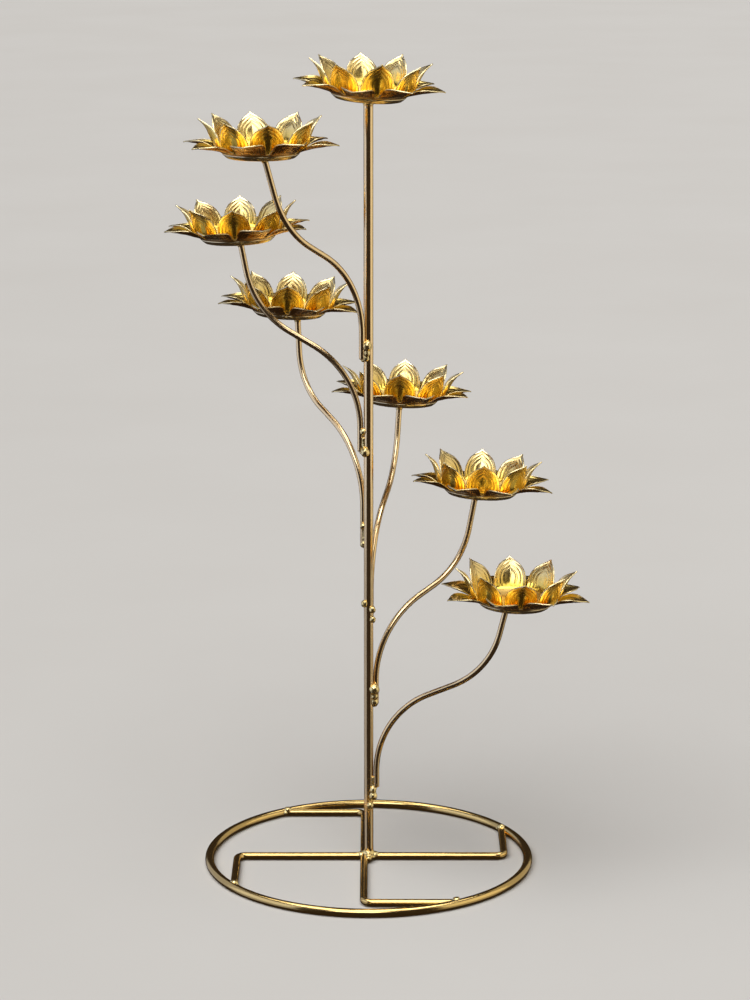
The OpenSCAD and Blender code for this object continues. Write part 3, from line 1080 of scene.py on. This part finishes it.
# Softboxes on both sides: name, place on the right, width, height and radiance
SIDE_BOXES = [
    ("softbox", (1.35, -0.30, 0.62), 1.45, 1.5, 0.74),
    ("low_softbox", (1.35, -0.30, -0.52), 1.45, 0.74, 0.34),
    ("back_softbox", (1.15, 0.85, 0.45), 1.2, 1.8, 0.36),
]
COLD = (0.90, 0.98, 1.24)
WARM = (1.06, 0.98, 0.80)
# Strips across above the lamp: name, distance behind its axis, depth and radiance
TOP_STRIPS = [("front", -0.95, 0.40, 2.0), ("middle", -0.15, 0.62, 4.2), ("rear", 0.75, 0.45, 2.4)]
TOP_HEIGHT = 1.9
TOP_WIDTH = 2.4
TOP_COLOUR = (1.0, 0.97, 0.92)
WHITE = (1.0, 1.0, 1.0)
LAMP_MIDDLE = 0.3


def build_stage():
    mesh = bpy.data.meshes.new("studio_floor")
    shape = bmesh.new()
    bmesh.ops.create_circle(shape, cap_ends=True, segments=96, radius=STAGE_R)
    shape.to_mesh(mesh)
    shape.free()
    floor = bpy.data.objects.new("studio_floor", mesh)
    bpy.context.scene.collection.objects.link(floor)
    material, n = new_material("pale_floor")
    tone = n.mix(n.noise(n.place(), scale=3.0, detail=3), *STAGE_TONES)
    shader = n.add("ShaderNodeBsdfDiffuse", {"Color": tone, "Roughness": 0.5})
    n.add("ShaderNodeOutputMaterial", {"Surface": shader.outputs[0]})
    mesh.materials.append(material)
    # the metal mirrors the low softboxes through the floor, as it would from a dark table
    floor.visible_glossy = False
    floor.visible_shadow = False


def add_softbox(name, place, target, width, height, radiance, colour):
    """An even panel of light that only the metal sees, so that the floor stays plain."""
    lamp = bpy.data.lights.new(name, "AREA")
    lamp.shape = "RECTANGLE"
    lamp.size = width
    lamp.size_y = height
    lamp.energy = radiance * math.pi * width * height
    lamp.color = colour
    box = bpy.data.objects.new(name, lamp)
    box.location = place
    box.rotation_euler = (Vector(target) - Vector(place)).to_track_quat("-Z", "Y").to_euler()
    box.visible_camera = False
    box.visible_diffuse = False
    bpy.context.scene.collection.objects.link(box)


def add_room_light():
    """Soft daylight for the floor and its shadows, which the metal doesn't mirror."""
    light = bpy.data.lights.new("room_light", "SUN")
    light.energy = 3.1
    light.angle = math.radians(70)
    sun = bpy.data.objects.new("room_light", light)
    sun.rotation_euler = (math.radians(20), math.radians(-15), 0)
    sun.visible_glossy = False
    bpy.context.scene.collection.objects.link(sun)


def build_lights():
    for side, mirror, colour in (("left", -1, COLD), ("right", 1, WARM)):
        for name, (x, y, z), width, height, radiance in SIDE_BOXES:
            add_softbox(f"{side}_{name}", (mirror * x, y, z), (0, 0, z), width, height, radiance,
                        colour)
    for name, y, depth, radiance in TOP_STRIPS:
        add_softbox(f"top_{name}_softbox", (0, y, TOP_HEIGHT), (0, y * 0.6, LAMP_MIDDLE),
                    TOP_WIDTH, depth, radiance, TOP_COLOUR)
    add_softbox("key_softbox", (-0.2, -1.45, 1.45), (0, 0, LAMP_MIDDLE), 1.1, 0.9, 3.3, WHITE)
    add_room_light()


def build_world():
    """A dark room for the metal to mirror, behind a pale backdrop."""
    world = bpy.data.worlds.new("studio")
    world.use_nodes = True
    n = Nodes(world.node_tree)
    dark = n.add("ShaderNodeBackground", {"Color": DARK_ROOM, "Strength": 1.0})
    pale = n.add("ShaderNodeBackground", {"Color": BACKDROP, "Strength": 1.0})
    seen = n.add("ShaderNodeLightPath").outputs["Is Camera Ray"]
    both = n.add("ShaderNodeMixShader", {0: seen, 1: dark.outputs[0], 2: pale.outputs[0]})
    n.add("ShaderNodeOutputWorld", {"Surface": both.outputs[0]})
    bpy.context.scene.world = world


def build_camera():
    lens = bpy.data.cameras.new("camera")
    lens.lens = 114.4
    lens.sensor_width = 36
    lens.clip_end = 60
    below_level = 13.6
    camera = bpy.data.objects.new("camera", lens)
    camera.location = (0.0043, -2.062, 0.753)
    camera.rotation_euler = (math.radians(90 - below_level), 0, 0)
    bpy.context.scene.collection.objects.link(camera)
    bpy.context.scene.camera = camera


build_lamp()
build_stage()
build_lights()
build_world()
build_camera()
bpy.context.scene.view_settings.view_transform = "Standard"
